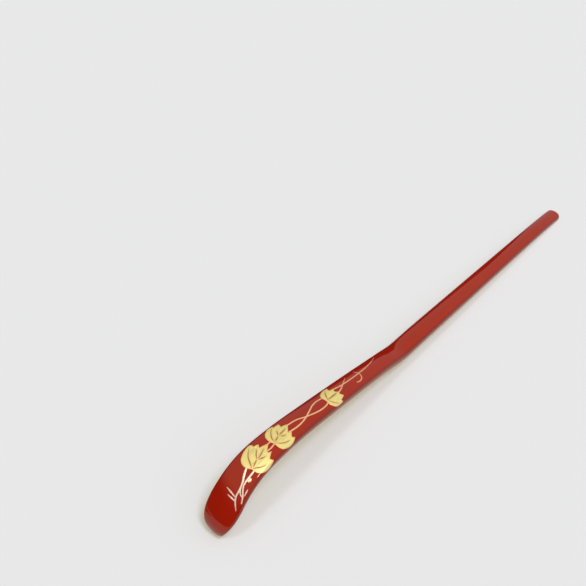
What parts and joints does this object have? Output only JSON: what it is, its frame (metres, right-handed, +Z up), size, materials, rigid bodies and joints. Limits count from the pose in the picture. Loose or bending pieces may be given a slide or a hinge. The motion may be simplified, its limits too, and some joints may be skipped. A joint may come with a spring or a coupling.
{
  "type": "tea scoop",
  "caption": "Slender bent tea scoop in red lacquer with a node bend in the middle, a curled scooping tip and gold ivy leaves and vines on its back.",
  "frame": {"origin": "middle of the scoop's outer bounds, on the surface that it rests on", "axes": "+X from the scooping tip to the handle's cut end, +Z up out of the decorated back, +Y across"},
  "size_m": [0.1831, 0.0102, 0.0209],
  "materials": {
    "bamboo": "scraped bamboo, sealed under the lacquer",
    "red_lacquer": "vermilion red lacquer, polished",
    "pale_gold": "sprinkled gold powder, satin",
    "reddish_gold": "thin sprinkled gold over red, satin"
  },
  "bodies": {
    "root": {"bare_strip": "bamboo", "red_lacquer_coat": "red_lacquer", "gold_leaf_large": "pale_gold", "gold_leaf_middle": "pale_gold", "gold_leaf_small": "pale_gold", "gold_tip_stems": "reddish_gold", "gold_tip_twigs": "reddish_gold", "gold_leaf_stems": "reddish_gold", "gold_crossed_vines": "reddish_gold", "gold_shoot_and_tendril": "reddish_gold"}
  },
  "joints": []
}
